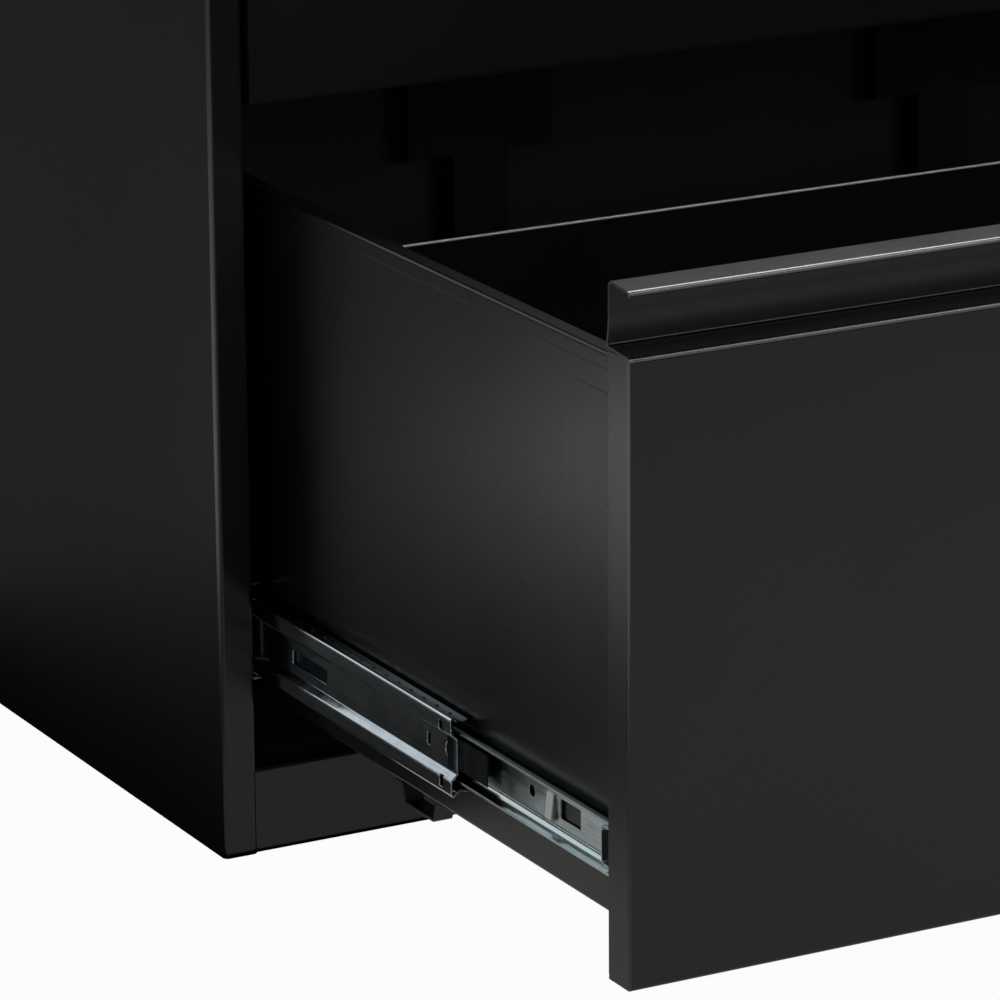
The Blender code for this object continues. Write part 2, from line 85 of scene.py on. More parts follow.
class Nodes:
    """A small helper for writing a material's node tree."""

    def __init__(self, name):
        self.material = bpy.data.materials.new(name)
        self.material.use_nodes = True
        self.tree = self.material.node_tree
        self.shader = self.tree.nodes["Principled BSDF"]
        self.place = self.tree.nodes.new("ShaderNodeTexCoord").outputs["Object"]

    def add(self, kind, **settings):
        node = self.tree.nodes.new("ShaderNode" + kind)
        for key, value in settings.items():
            setattr(node, key, value)
        return node

    def link(self, source, target):
        self.tree.links.new(source, target)

    def stretched(self, scale):
        mapping = self.add("Mapping")
        mapping.inputs["Scale"].default_value = scale
        self.link(self.place, mapping.inputs["Vector"])
        return mapping.outputs["Vector"]

    def noise(self, scale, detail=2.0, roughness=0.5, vector=None):
        noise = self.add("TexNoise")
        noise.inputs["Scale"].default_value = scale
        noise.inputs["Detail"].default_value = detail
        noise.inputs["Roughness"].default_value = roughness
        self.link(vector or self.place, noise.inputs["Vector"])
        return noise.outputs["Fac"]

    def colours(self, value, low, high, start=0.35, end=0.65):
        ramp = self.add("ValToRGB")
        ramp.color_ramp.elements[0].position = start
        ramp.color_ramp.elements[1].position = end
        ramp.color_ramp.elements[0].color = (*low, 1.0)
        ramp.color_ramp.elements[1].color = (*high, 1.0)
        self.link(value, ramp.inputs["Fac"])
        return ramp.outputs["Color"]

    def ranged(self, value, low, high, start=0.3, end=0.7):
        ranged = self.add("MapRange")
        ranged.inputs["From Min"].default_value = start
        ranged.inputs["From Max"].default_value = end
        ranged.inputs["To Min"].default_value = low
        ranged.inputs["To Max"].default_value = high
        self.link(value, ranged.inputs["Value"])
        return ranged.outputs["Result"]

    def mixed(self, factor, low, high):
        mix = self.add("Mix", data_type="RGBA")
        self.link(factor, mix.inputs["Factor"])
        for value, socket in ((low, mix.inputs["A"]), (high, mix.inputs["B"])):
            if isinstance(value, tuple):
                socket.default_value = (*value, 1.0)
            else:
                self.link(value, socket)
        return mix.outputs["Result"]

    def bumps(self, *layers):
        """Layers of (height value, distance in metres, strength), one on the other."""
        normal = None
        for height, distance, strength in layers:
            bump = self.add("Bump")
            bump.inputs["Distance"].default_value = distance
            bump.inputs["Strength"].default_value = strength
            self.link(height, bump.inputs["Height"])
            if normal:
                self.link(normal, bump.inputs["Normal"])
            normal = bump.outputs["Normal"]
        self.link(normal, self.shader.inputs["Normal"])

    def upward(self, start, end):
        """0 where the surface faces sideways or down, 1 where it faces up."""
        geometry = self.add("NewGeometry")
        parts = self.add("SeparateXYZ")
        self.link(geometry.outputs["Normal"], parts.inputs["Vector"])
        return self.ranged(parts.outputs["Z"], 0.0, 1.0, start, end)

    def finish(self, metallic, colour=None, roughness=None, **plain):
        if colour:
            self.link(colour, self.shader.inputs["Base Color"])
        if roughness:
            self.link(roughness, self.shader.inputs["Roughness"])
        self.shader.inputs["Metallic"].default_value = metallic
        for key, value in plain.items():
            self.shader.inputs[key.replace("_", " ")].default_value = value
        return self.material


def powder_coat(name, low, high, rough=(0.265, 0.295)):
    """Semi-gloss black powder coat: a fine orange peel, slow waves of the sheet, a little dust."""
    n = Nodes(name)
    tone = n.colours(n.noise(7.0, 3.0), low, high)
    specks = n.ranged(n.noise(1900.0, 1.0), 0.0, 0.14, 0.62, 0.80)
    tone = n.mixed(specks, tone, (0.03, 0.03, 0.029))
    dust = n.ranged(n.noise(340.0, 3.0, 0.6), 0.0, 0.07, 0.45, 0.85)
    facing = n.upward(0.75, 1.0)
    both = n.add("Math", operation="MULTIPLY")
    n.link(dust, both.inputs[0])
    n.link(facing, both.inputs[1])
    tone = n.mixed(both.outputs["Value"], tone, (0.030, 0.030, 0.029))
    roughness = n.ranged(n.noise(23.0, 4.0, 0.6), *rough)
    n.bumps((n.noise(16.0, 1.0), 0.0006, 0.20), (n.noise(850.0, 2.0), 0.00005, 0.35))
    return n.finish(0.0, tone, roughness, IOR=1.5, Specular_IOR_Level=0.5)


def zinc_plate(name, low, high, rough):
    """Rolled steel with bright zinc and a faint blue-green film; the roller's lines run along the slide."""
    n = Nodes(name)
    streaks = n.noise(1.0, 3.0, 0.6, n.stretched((700.0, 9.0, 700.0)))
    film = n.noise(18.0, 3.0, 0.6, n.stretched((1.0, 0.35, 1.0)))
    tone = n.mixed(n.ranged(film, 0.0, 0.6), n.colours(streaks, low, high), (0.50, 0.62, 0.66))
    roughness = n.ranged(n.noise(90.0, 4.0, 0.6), *rough)
    n.bumps((streaks, 0.00002, 0.5), (n.noise(140.0, 3.0), 0.00008, 0.25))
    return n.finish(1.0, tone, roughness)


def blued_steel(name, low=(0.020, 0.030, 0.044), high=(0.050, 0.066, 0.088)):
    n = Nodes(name)
    tone = n.colours(n.noise(45.0, 3.0, 0.6), low, high)
    roughness = n.ranged(n.noise(160.0, 3.0), 0.26, 0.40)
    n.bumps((n.noise(420.0, 2.0), 0.00003, 0.3))
    return n.finish(1.0, tone, roughness)


def bearing_steel(name):
    n = Nodes(name)
    tone = n.colours(n.noise(400.0, 2.0), (0.62, 0.63, 0.64), (0.76, 0.76, 0.77))
    roughness = n.ranged(n.noise(900.0, 2.0), 0.05, 0.14)
    return n.finish(1.0, tone, roughness)


def highlight_steel_look(name):
    """Near-white steel, a painted highlight: it stands for the light caught on a folded edge, bright from
    most sides.
    """
    n = Nodes(name)
    tone = n.colours(n.noise(60.0, 3.0), (0.80, 0.80, 0.78), (0.92, 0.92, 0.90))
    roughness = n.ranged(n.noise(300.0, 2.0), 0.34, 0.46)
    return n.finish(0.35, tone, roughness)


def chrome(name):
    n = Nodes(name)
    rings = n.noise(1.0, 2.0, 0.5, n.stretched((1600.0, 60.0, 1600.0)))
    tone = n.colours(rings, (0.60, 0.60, 0.61), (0.78, 0.78, 0.78))
    roughness = n.ranged(n.noise(300.0, 3.0), 0.10, 0.20)
    n.bumps((rings, 0.00001, 0.3))
    return n.finish(1.0, tone, roughness)


def mill_steel(name):
    n = Nodes(name)
    scale = n.noise(30.0, 6.0, 0.65)
    tone = n.colours(scale, (0.075, 0.072, 0.070), (0.22, 0.21, 0.20))
    rust = n.ranged(n.noise(55.0, 5.0, 0.7), 0.0, 0.55, 0.58, 0.75)
    tone = n.mixed(rust, tone, (0.16, 0.075, 0.035))
    roughness = n.ranged(scale, 0.45, 0.75)
    n.bumps((n.noise(220.0, 4.0), 0.0002, 0.5))
    return n.finish(0.8, tone, roughness)


def moulded_plastic(name):
    n = Nodes(name)
    tone = n.colours(n.noise(40.0, 3.0), (0.012, 0.012, 0.013), (0.022, 0.022, 0.023))
    roughness = n.ranged(n.noise(110.0, 3.0), 0.45, 0.62)
    n.bumps((n.noise(1100.0, 2.0), 0.00005, 0.5))
    return n.finish(0.0, tone, roughness)


BLACK = powder_coat("black_powder_coat", (0.0046, 0.0047, 0.0045), (0.0062, 0.0063, 0.0060))
# A darker copy of the black coat for the parts inside the case: painted shade, where little light reaches. It
# is also rougher.
SHADED_INNER_BLACK = powder_coat(
    "black_powder_coat_inside_painted_shade", (0.0030, 0.0030, 0.0031), (0.0044, 0.0044, 0.0044), (0.42, 0.52),
)
# A much lighter copy of the black coat for the back panel: painted light, standing in for light that reaches
# the back inside the case.
LIT_BACK_BLACK = powder_coat(
    "black_powder_coat_back_painted_light", (0.024, 0.024, 0.0235), (0.031, 0.031, 0.030), (0.38, 0.46),
)
MATT_BLACK = powder_coat(
    "matt_black_bracket", (0.0012, 0.0012, 0.0013), (0.0022, 0.0022, 0.0022), (0.62, 0.74),
)
ZINC = zinc_plate("zinc_plate", (0.36, 0.41, 0.42), (0.58, 0.63, 0.63), (0.12, 0.24))
DARK_ZINC = zinc_plate("zinc_plate_dark", (0.38, 0.42, 0.47), (0.62, 0.66, 0.70), (0.11, 0.20))
CAGE = blued_steel("blued_cage_steel")
# A darker copy of the cage steel for the inner cage's tongue: painted shade inside the drawer member's
# channel.
SHADED_CAGE = blued_steel("blued_cage_steel_painted_shade", (0.010, 0.014, 0.018), (0.022, 0.030, 0.038))
BALL = bearing_steel("bearing_balls")
# Near-white steel for the drawer back's rod and the slides' lanced tabs: a painted highlight on those edges.
HIGHLIGHT_STEEL = highlight_steel_look("painted_highlight_steel")
CHROME = chrome("lock_chrome")
MILL = mill_steel("mill_steel")
PLASTIC = moulded_plastic("black_plastic")
SLOT_LOOKS = {
    "black_paint": BLACK, "zinc_plate": ZINC, "cage_steel": CAGE, "lock_metal": CHROME, "bare_steel": MILL,
    "glide_plastic": PLASTIC,
}


def paint_cad_nodes():
    """Every CAD node gets its slot's material; those that stay in view keep it."""
    for name, item in frame["nodes"].items():
        look = SLOT_LOOKS[SLOT_OF[name]]
        item.data.materials.clear()
        item.data.materials.append(look)


# ---------------------------------------------------------------- building pieces

def make_object(name, shape, look):
    bmesh.ops.recalc_face_normals(shape, faces=shape.faces)
    mesh = bpy.data.meshes.new(name)
    shape.to_mesh(mesh)
    shape.free()
    mesh.materials.append(look)
    item = bpy.data.objects.new(name, mesh)
    bpy.context.scene.collection.objects.link(item)
    return item


def soften(item, width=EDGE, segments=2, angle=32, clamp=False):
    """Round the cut edges, and shade flat areas flat and folds smooth."""
    item.data.shade_smooth()
    bevel = item.modifiers.new("cut_edges", "BEVEL")
    bevel.width = width
    bevel.segments = segments
    bevel.limit_method = "ANGLE"
    bevel.angle_limit = math.radians(angle)
    bevel.use_clamp_overlap = clamp
    shading = item.modifiers.new("shading", "WEIGHTED_NORMAL")
    shading.mode = "FACE_AREA_WITH_ANGLE"
    shading.keep_sharp = True
    return item


def stand_for(item, node, *others):
    """The piece takes the CAD node's place and body; the node is hidden."""
    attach(item, BODY_OF[node])
    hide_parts(node, *others)
    return item


def goes_with(item, node):
    """A small piece that belongs to a CAD node without standing for it."""
    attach(item, BODY_OF[node])
    return item


def both_faces(outline, thickness, radius, steps=ARC_STEPS):
    """The two faces of a folded sheet as lists of points. The sheet lies to the left of its outline.

    A corner may bring its own radius as a third number.
    """
    radii = [point[2] if len(point) > 2 else radius for point in outline]
    outline = [Vector(point[:2]) for point in outline]
    near, far = [outline[0]], []
    first = (outline[1] - outline[0]).normalized()
    far.append(outline[0] + Vector((-first.y, first.x)) * thickness)
    for before, corner, after, radius in zip(outline, outline[1:], outline[2:], radii[1:]):
        arriving = (corner - before).normalized()
        leaving = (after - corner).normalized()
        cross = arriving.x * leaving.y - arriving.y * leaving.x
        turn = math.atan2(cross, arriving.dot(leaving))
        way = math.copysign(1, turn)
        bend = radius if turn > 0 else max(radius - thickness, 0.0001)
        side = Vector((-arriving.y, arriving.x)) * way
        centre = corner - arriving * bend * math.tan(abs(turn) / 2) + side * bend
        count = max(1, round(steps * abs(turn) / (math.pi / 2)), round(bend * abs(turn) / SLOW_BEND_STEP))
        for step in range(count + 1):
            spoke = -side
            spoke.rotate(Matrix.Rotation(turn * step / count, 2))
            near.append(centre + spoke * bend)
            far.append(centre + spoke * (bend - way * thickness))
    last = (outline[-1] - outline[-2]).normalized()
    near.append(outline[-1])
    far.append(outline[-1] + Vector((-last.y, last.x)) * thickness)
    return near, far


def sheet_shape(outline, along, span, thickness=SHEET, radius=FOLD, steps=ARC_STEPS):
    """A folded sheet as a closed shape, drawn out along an axis."""
    near, far = both_faces(outline, thickness, radius, steps)
    drawn = "XYZ".index(along)
    across, up = [axis for axis in range(3) if axis != drawn]
    shape = bmesh.new()

    def corner(point, place):
        spot = [0.0, 0.0, 0.0]
        spot[across], spot[up], spot[drawn] = point.x, point.y, place
        return shape.verts.new(spot)

    start, end = span
    rows = [[corner(n, start), corner(n, end), corner(f, end), corner(f, start)] for n, f in zip(near, far)]
    for row, following in zip(rows, rows[1:]):
        for one in range(4):
            two = (one + 1) % 4
            shape.faces.new((row[one], row[two], following[two], following[one]))
    shape.faces.new(rows[0])
    shape.faces.new(rows[-1][::-1])
    return shape


def in_world(outline):
    """(depth, height) to (y, height)."""
    return [(FRONT + depth, height) for depth, height in outline]


def paired(outline, side):
    """(inset, other) to (x, other), on the given side."""
    placed = [(side * (HALF - inset), other) for inset, other in outline]
    return placed if side == LEFT else placed[::-1]


def paired_depths(outline, side):
    """(inset, depth) to (x, y), on the given side."""
    return paired([(inset, FRONT + depth) for inset, depth in outline], side)


def box_shape(low, high):
    shape = bmesh.new()
    bmesh.ops.create_cube(shape, size=1.0)
    low, high = Vector(low), Vector(high)
    move = Matrix.Translation((low + high) / 2) @ Matrix.Diagonal(high - low).to_4x4()
    bmesh.ops.transform(shape, matrix=move, verts=shape.verts)
    return shape


def rod_shape(centre, axis, radius, length, segments=32):
    shape = bmesh.new()
    quarter = math.pi / 2
    turn = {"X": Matrix.Rotation(quarter, 4, "Y"), "Y": Matrix.Rotation(quarter, 4, "X"), "Z": Matrix()}[axis]
    bmesh.ops.create_cone(
        shape, cap_ends=True, segments=segments, radius1=radius, radius2=radius, depth=length,
        matrix=Matrix.Translation(centre) @ turn,
    )
    return shape


def push_through(shape, ring, drawn, length):
    """Draw the face on a ring of corners out along an axis, to a closed shape."""
    moved = bmesh.ops.extrude_face_region(shape, geom=[shape.faces.new(ring)])
    step = Vector((0, 0, 0))
    step[drawn] = length
    corners = [item for item in moved["geom"] if isinstance(item, bmesh.types.BMVert)]
    bmesh.ops.translate(shape, verts=corners, vec=step)
    bmesh.ops.recalc_face_normals(shape, faces=shape.faces)
    return shape


def slot_shape(centre, axis, width, height, length, rounding):
    """A rounded rectangle through a sheet: width is along the first other axis, height along the second."""
    drawn = "XYZ".index(axis)
    across, up = [number for number in range(3) if number != drawn]
    shape = bmesh.new()
    ring = []
    for corner in range(4):
        way_x = 1 if corner in (0, 3) else -1
        way_y = 1 if corner in (0, 1) else -1
        for step in range(5):
            angle = math.pi / 2 * (corner + step / 4)
            spot = list(centre)
            spot[across] += way_x * (width / 2 - rounding) + rounding * math.cos(angle)
            spot[up] += way_y * (height / 2 - rounding) + rounding * math.sin(angle)
            spot[drawn] -= length / 2
            ring.append(shape.verts.new(spot))
    return push_through(shape, ring, drawn, length)


def combine(item, shapes, operation):
    """Cut the shapes from the piece, or join them to it."""
    for shape in shapes:
        mesh = bpy.data.meshes.new("tool")
        bmesh.ops.recalc_face_normals(shape, faces=shape.faces)
        shape.to_mesh(mesh)
        shape.free()
        tool = bpy.data.objects.new("tool", mesh)
        bpy.context.scene.collection.objects.link(tool)
        modifier = item.modifiers.new("boolean", "BOOLEAN")
        modifier.operation = operation
        modifier.solver = "EXACT"
        modifier.object = tool
        bpy.context.view_layer.update()
        result = bpy.data.meshes.new_from_object(item.evaluated_get(bpy.context.evaluated_depsgraph_get()))
        item.modifiers.clear()
        old = item.data
        item.data = result
        bpy.data.meshes.remove(old)
        bpy.data.objects.remove(tool)
        bpy.data.meshes.remove(mesh)
    return item


def cut(item, shapes):
    return combine(item, shapes, "DIFFERENCE")


def add_turned(shape, profile, centre, axis, segments):
    """Add a turned body to a shape. The profile is of (radius, height along the axis), from axis to axis."""
    turn = {
        "Y": Matrix.Rotation(-math.pi / 2, 4, "X"), "-Y": Matrix.Rotation(math.pi / 2, 4, "X"), "Z": Matrix(),
    }[axis]
    place = Matrix.Translation(centre) @ turn
    rings = []
    for radius, height in profile:
        if radius < 1e-7:
            rings.append([shape.verts.new(place @ Vector((0, 0, height)))])
        else:
            angles = [math.tau * n / segments for n in range(segments)]
            rings.append([
                shape.verts.new(place @ Vector((radius * math.cos(a), radius * math.sin(a), height)))
                for a in angles
            ])
    for ring, following in zip(rings, rings[1:]):
        for n in range(segments):
            after = n + 1
            corners = [
                ring[n % len(ring)], ring[after % len(ring)], following[after % len(following)],
                following[n % len(following)],
            ]
            unique = list(dict.fromkeys(corners))
            if len(unique) > 2:
                shape.faces.new(unique)
    return shape


def turned(name, profile, centre, axis, look, segments=48):
    item = make_object(name, add_turned(bmesh.new(), profile, centre, axis, segments), look)
    item.data.shade_smooth()
    item.data.set_sharp_from_angle(angle=math.radians(35))
    return item


def domes(name, places, axis, radius, height, look, segments=20):
    """Rivet or screw heads as one piece of separate domes."""
    shape = bmesh.new()
    arc = [(radius * math.cos(a), height * math.sin(a)) for a in (math.radians(15 * n) for n in range(6))]
    profile = [(0.0, -0.0006), (radius, -0.0006)] + arc + [(0.0, height)]
    for place in places:
        add_turned(shape, profile, place, axis, segments)
    item = make_object(name, shape, look)
    item.data.shade_smooth()
    item.data.set_sharp_from_angle(angle=math.radians(50))
    return item


# ---------------------------------------------------------------- case

REAR_LIP = 0.014
JAMB_RETURN = 0.008
WELD = 0.0014  # the bottom rail's ends reach this far into the jambs' folds


def make_side_panels():
    outline = [(REAR_LIP, DEPTH), (0.0, DEPTH), (0.0, 0.0), (JAMB_WIDTH, 0.0), (JAMB_WIDTH, JAMB_RETURN)]
    for side, word in SIDES:
        node = f"{word}_side_panel"
        shape = sheet_shape(paired_depths(outline, side), "Z", (0.0, CASE_TOP))
        stand_for(soften(make_object(node + "_sheet", shape, BLACK)), node)


def make_top_cap():
    """A pan folded down on all four sides."""
    low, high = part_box("top_cap")
    shape = box_shape(low, high)
    upper = [edge for edge in shape.edges if sum(v.co.z > (low.z + high.z) / 2 for v in edge.verts)]
    bmesh.ops.bevel(shape, geom=upper, offset=FOLD, segments=6, profile=0.5, affect="EDGES")
    under = [
        face for face in shape.faces
        if face.normal.z < -0.9 and face.calc_center_median().z < low.z + 0.001
    ]
    bmesh.ops.delete(shape, geom=under, context="FACES")
    cap = make_object("top_cap_pan", shape, BLACK)
    walls = cap.modifiers.new("sheet", "SOLIDIFY")
    walls.thickness = SHEET
    walls.offset = -1
    stand_for(soften(cap, angle=50), "top_cap")


# Widths of the rails' folds
FRONT_FLANGE = 0.030
FRONT_FOOT = 0.025
NARROW_FLANGE = 0.020
RAIL_HEM = 0.012
LOCK_HOLE_RADIUS = 0.0098


def make_rails():
    low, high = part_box("bottom_rail")
    top = high.z
    outline = [
        (FRONT_FLANGE, top - RAIL_HEM), (FRONT_FLANGE, top), (0.0, top), (0.0, 0.0), (FRONT_FOOT, 0.0),
    ]
    shape = sheet_shape(in_world(outline), "X", (low.x - WELD, high.x + WELD))
    stand_for(soften(make_object("bottom_rail_sheet", shape, BLACK)), "bottom_rail")
    for word, end, way in (("left", low.x, 1), ("right", high.x, -1)):
        edges = sorted((end, end + way * SHEET))
        inside = box_shape((edges[0], FRONT + SHEET, SHEET), (edges[1], FRONT + FRONT_FOOT, top - SHEET))
        goes_with(soften(make_object(f"bottom_rail_{word}_end", inside, BLACK)), "bottom_rail")
    low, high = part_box("top_rail")
    outline = [(RAIL_HEM, high.z), (0.0, high.z), (0.0, low.z), (NARROW_FLANGE, low.z)]
    rail = make_object("top_rail_sheet", sheet_shape(in_world(outline), "X", (low.x, high.x)), BLACK)
    near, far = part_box("lock_housing")
    cut(rail, [rod_shape((near + far) / 2, "Y", LOCK_HOLE_RADIUS, 0.03, 48)])
    stand_for(soften(rail), "top_rail")
    low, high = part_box("rear_rail")
    outline = [
        (high.y - NARROW_FLANGE, 0.0), (high.y, 0.0), (high.y, high.z), (low.y, high.z),
        (low.y, high.z - RAIL_HEM),
    ]
    rail = make_object("rear_rail_sheet", sheet_shape(outline, "X", (low.x, high.x)), BLACK)
    stand_for(soften(rail), "rear_rail")


RIVET_ROWS = 7
RIVET_MARGIN = 0.060  # from the top and the foot
RIVET_INSET = 0.030  # from the sides
RIVET_RADIUS, RIVET_HEIGHT = 0.0032, 0.0012


def make_back_panel():
    """The plain sheet that closes the back, with the heads of its rivets."""
    low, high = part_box("back_panel")
    # The back panel and its rivet heads take the lighter coat: painted light.
    panel = make_object("back_panel_sheet", box_shape(low, high), LIT_BACK_BLACK)
    stand_for(soften(panel), "back_panel")
    places = []
    for number in range(RIVET_ROWS):
        height = RIVET_MARGIN + (CASE_TOP - 2 * RIVET_MARGIN) * number / (RIVET_ROWS - 1)
        for x in (low.x + RIVET_INSET, 0.0, high.x - RIVET_INSET):
            places.append((x, high.y, height))
    heads = domes("back_panel_rivets", places, "Y", RIVET_RADIUS, RIVET_HEIGHT, LIT_BACK_BLACK)
    goes_with(heads, "back_panel")


HOOK_PITCH = 0.0254
FIRST_HOOK = 0.024
HOOK_SLOT = (0.0045, 0.0130, 0.01, 0.0012)  # width, height, depth of the cut, rounding


def make_posts():
    """Channels with rows of slots for the slides' hooks."""
    for node in ("front_left_post", "rear_left_post", "front_right_post", "rear_right_post"):
        low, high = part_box(node)
        side = LEFT if "left" in node else RIGHT
        open_x, web_x = (low.x, high.x) if side == LEFT else (high.x, low.x)
        outline = [(open_x, low.y), (web_x, low.y), (web_x, high.y), (open_x, high.y)]
        outline = outline if side == LEFT else outline[::-1]
        post = make_object(node + "_channel", sheet_shape(outline, "Z", (low.z, high.z)), SHADED_INNER_BLACK)
        middle = (low.y + high.y) / 2
        holes = []
        for number in range(int((high.z - low.z) / HOOK_PITCH) - 1):
            height = low.z + FIRST_HOOK + number * HOOK_PITCH
            holes.append(slot_shape((web_x, middle, height), "X", *HOOK_SLOT))
        cut(post, [join_shapes(holes)])
        stand_for(soften(post, segments=1), node)


def join_shapes(shapes):
    """Separate shapes as one, for one cut."""
    whole = bmesh.new()
    for shape in shapes:
        mesh = bpy.data.meshes.new("part")
        shape.to_mesh(mesh)
        shape.free()
        whole.from_mesh(mesh)
        bpy.data.meshes.remove(mesh)
    return whole


# ---------------------------------------------------------------- drawers

LOWER_FACE_FOOT = 0.0475  # height of the lower drawer front's foot
FACE_TOP = 0.3124  # height of its flat face's top edge
FRONT_FOLD = 0.0022
PULL_DEPTH = 0.0182  # from the face to the pull's wall
LEDGE_RISE = 0.0015  # the ledge rises by this towards the wall
LIP_FALL = 0.0013  # the lip falls by this towards the front
LIP_HEM = 0.0045
HEM_STEP = 0.0004  # the lip's hem stands back from the face by this
PULL_CORNER = 0.0026  # rounding of the lip's and the hem's corners
WALL_LEAN = 0.0017  # the pull's wall goes back by this towards its foot
WALL_BEND = 0.0072  # height of the slow bend over the ledge
WALL_RADIUS = 0.055  # of that bend
RETURN_WIDTH = 0.006  # of the side returns' lap behind the face


def corner_shape(corner, inward, radius, axis, middle, length):
    """What rounding a sheet's corner takes away: the corner less a quarter circle, through the sheet."""
    drawn = "XYZ".index(axis)
    across, up = [number for number in range(3) if number != drawn]
    way_x, way_y = inward
    outside = 0.001
    left, foot = corner
    flat = [(left - way_x * outside, foot - way_y * outside), (left + way_x * radius, foot - way_y * outside)]
    for step in range(9):
        angle = math.pi / 2 * step / 8
        flat.append((
            left + way_x * radius * (1 - math.sin(angle)), foot + way_y * radius * (1 - math.cos(angle)),
        ))
    flat.append((left - way_x * outside, foot + way_y * radius))
    shape = bmesh.new()
    ring = []
    for x, y in flat:
        spot = [0.0, 0.0, 0.0]
        spot[across], spot[up], spot[drawn] = x, y, middle - length / 2
        ring.append(shape.verts.new(spot))
    return push_through(shape, ring, drawn, length)


def pull_corner_cuts(low, high, back, lip_under):
    """The pull's lip and hem have rounded corners at both ends."""
    shapes = []
    hem_foot = lip_under - LIP_FALL - LIP_HEM + SHEET
    for side in (LEFT, RIGHT):
        end = low.x if side == LEFT else high.x
        shapes.append(corner_shape((end, hem_foot), (-side, 1), PULL_CORNER, "Y", low.y + 0.001, 0.004))
        shapes.append(corner_shape((end, high.z), (-side, -1), PULL_CORNER, "Y", back - 0.0006, 0.003))
    return shapes


def make_drawer_front(drawer):
    """One sheet: the face, its bottom return, the pull's ledge, wall and lip; side returns are welded in."""
    node = drawer + "_drawer_front"
    low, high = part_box(node)
    face = low.y
    back = face + PULL_DEPTH
    lift = low.z - LOWER_FACE_FOOT
    face_top, lip_under = FACE_TOP + lift, high.z - SHEET
    hem_back = face + HEM_STEP + SHEET
    ledge = face_top + LEDGE_RISE
    wall = back - WALL_LEAN
    outline = [
        (hem_back, lip_under - LIP_FALL - LIP_HEM + SHEET), (hem_back, lip_under - LIP_FALL),
        (wall, lip_under), (wall, ledge + WALL_BEND, WALL_RADIUS), (back, ledge), (face, face_top),
        (face, low.z), (back, low.z),
    ]
    shape = sheet_shape(outline, "X", (low.x, high.x), radius=FRONT_FOLD, steps=8)
    front = make_object(node + "_sheet", shape, BLACK)
    stand_for(front, node)
    # The side returns of the face, rounded where they meet it
    behind = face + 0.0003
    for side in (LEFT, RIGHT):
        edge = low.x if side == LEFT else high.x
        points = [(edge, back - 0.0002), (edge, behind), (edge - side * RETURN_WIDTH, behind)]
        points = points if side == LEFT else points[::-1]
        span = (low.z + 0.0009, face_top - 0.0006)
        front = combine(front, [sheet_shape(points, "Z", span, radius=DRAWER_FOLD)], "UNION")
    cut(front, [join_shapes(pull_corner_cuts(low, high, back, lip_under))])
    soften(front, clamp=True)


def make_front_liner(drawer):
    node = drawer + "_front_liner"
    low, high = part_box(node)
    liner = make_object(node + "_sheet", box_shape(low, high), SHADED_INNER_BLACK)
    stand_for(soften(liner), node)


SIDE_HEM, SIDE_HEM_FALL = 0.009, 0.008
SIDE_FOOT = 0.013
GROOVE_DEPTH = 0.00025
UPPER_GROOVE = (0.0070, 0.0075)  # heights below the side's top edge
LOWER_GROOVE = (0.0169, 0.0174)
LOWER_GROOVE_LENGTH = 0.046


def make_drawer_sides(drawer):
    for side, word in SIDES:
        node = f"{drawer}_drawer_{word}_side"
        low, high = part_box(node)
        inset = HALF - max(abs(low.x), abs(high.x))
        top, bottom = high.z, low.z
        outline = [
            (inset + SIDE_HEM, top - SIDE_HEM_FALL), (inset + SIDE_HEM, top), (inset, top), (inset, bottom),
            (inset + SIDE_FOOT, bottom),
        ]
        shape = sheet_shape(
            paired(outline, side), "Y", (low.y, high.y), thickness=DRAWER_SHEET, radius=DRAWER_FOLD,
        )
        panel = make_object(node + "_sheet", shape, BLACK)
        face = side * (HALF - inset)
        edges = sorted((face + side * 0.001, face - side * GROOVE_DEPTH))
        grooves = []
        for (upper, lower), end in (
            (UPPER_GROOVE, high.y + 0.001), (LOWER_GROOVE, low.y + LOWER_GROOVE_LENGTH),
        ):
            grooves.append(box_shape((edges[0], low.y - 0.001, top - lower), (edges[1], end, top - upper)))
        cut(panel, [join_shapes(grooves)])
        stand_for(soften(panel, clamp=True), node)


def make_drawer_insides(drawer):
    """The drawer's bottom and back."""
    node = drawer + "_drawer_bottom"
    floor = make_object(node + "_sheet", box_shape(*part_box(node)), SHADED_INNER_BLACK)
    stand_for(soften(floor), node)
    node = drawer + "_drawer_back"
    low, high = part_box(node)
    outline = [(high.y - DRAWER_SHEET, low.z), (high.y - DRAWER_SHEET, high.z), (low.y, high.z)]
    shape = sheet_shape(outline, "X", (low.x, high.x), thickness=DRAWER_SHEET, radius=DRAWER_FOLD)
    stand_for(soften(make_object(node + "_sheet", shape, BLACK)), node)
    # A near-white rounded rod along the flange's front: a painted highlight on its folded edge
    radius = 0.0007
    middle = ((low.x + high.x) / 2, low.y - 0.0002, high.z - radius)
    rod = rod_shape(middle, "X", radius, high.x - low.x - 0.002, 20)
    highlight_rod = make_object(node + "_highlight_rod", rod, HIGHLIGHT_STEEL)
    highlight_rod.data.shade_smooth()
    highlight_rod.data.set_sharp_from_angle(angle=math.radians(40))
    goes_with(highlight_rod, node)


# ---------------------------------------------------------------- slides

SLIDE_EDGE = 0.0003  # rounding of the slides' sheared edges
SLIDE_SHEET = 0.0011
CAGE_SHEET = 0.0005
TONGUE_SHEET = 0.0006
TONGUE_LEAD = 0.030  # the inner cage's tongue reaches this far in front of its balls
THROUGH = 0.02  # depth of a cut that goes right through a web


def slide_outline(points, height):
    return [(inset, height + rise) for inset, rise in points]


def slide_height(drawer):
    low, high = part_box(drawer + "_left_cabinet_member")
    return (low.z + high.z) / 2


def mirrored(points):
    """The upper half of a cross-section, from its tip to the middle, and its mirror image below."""
    return points + [(inset, -rise) for inset, rise in reversed(points)]


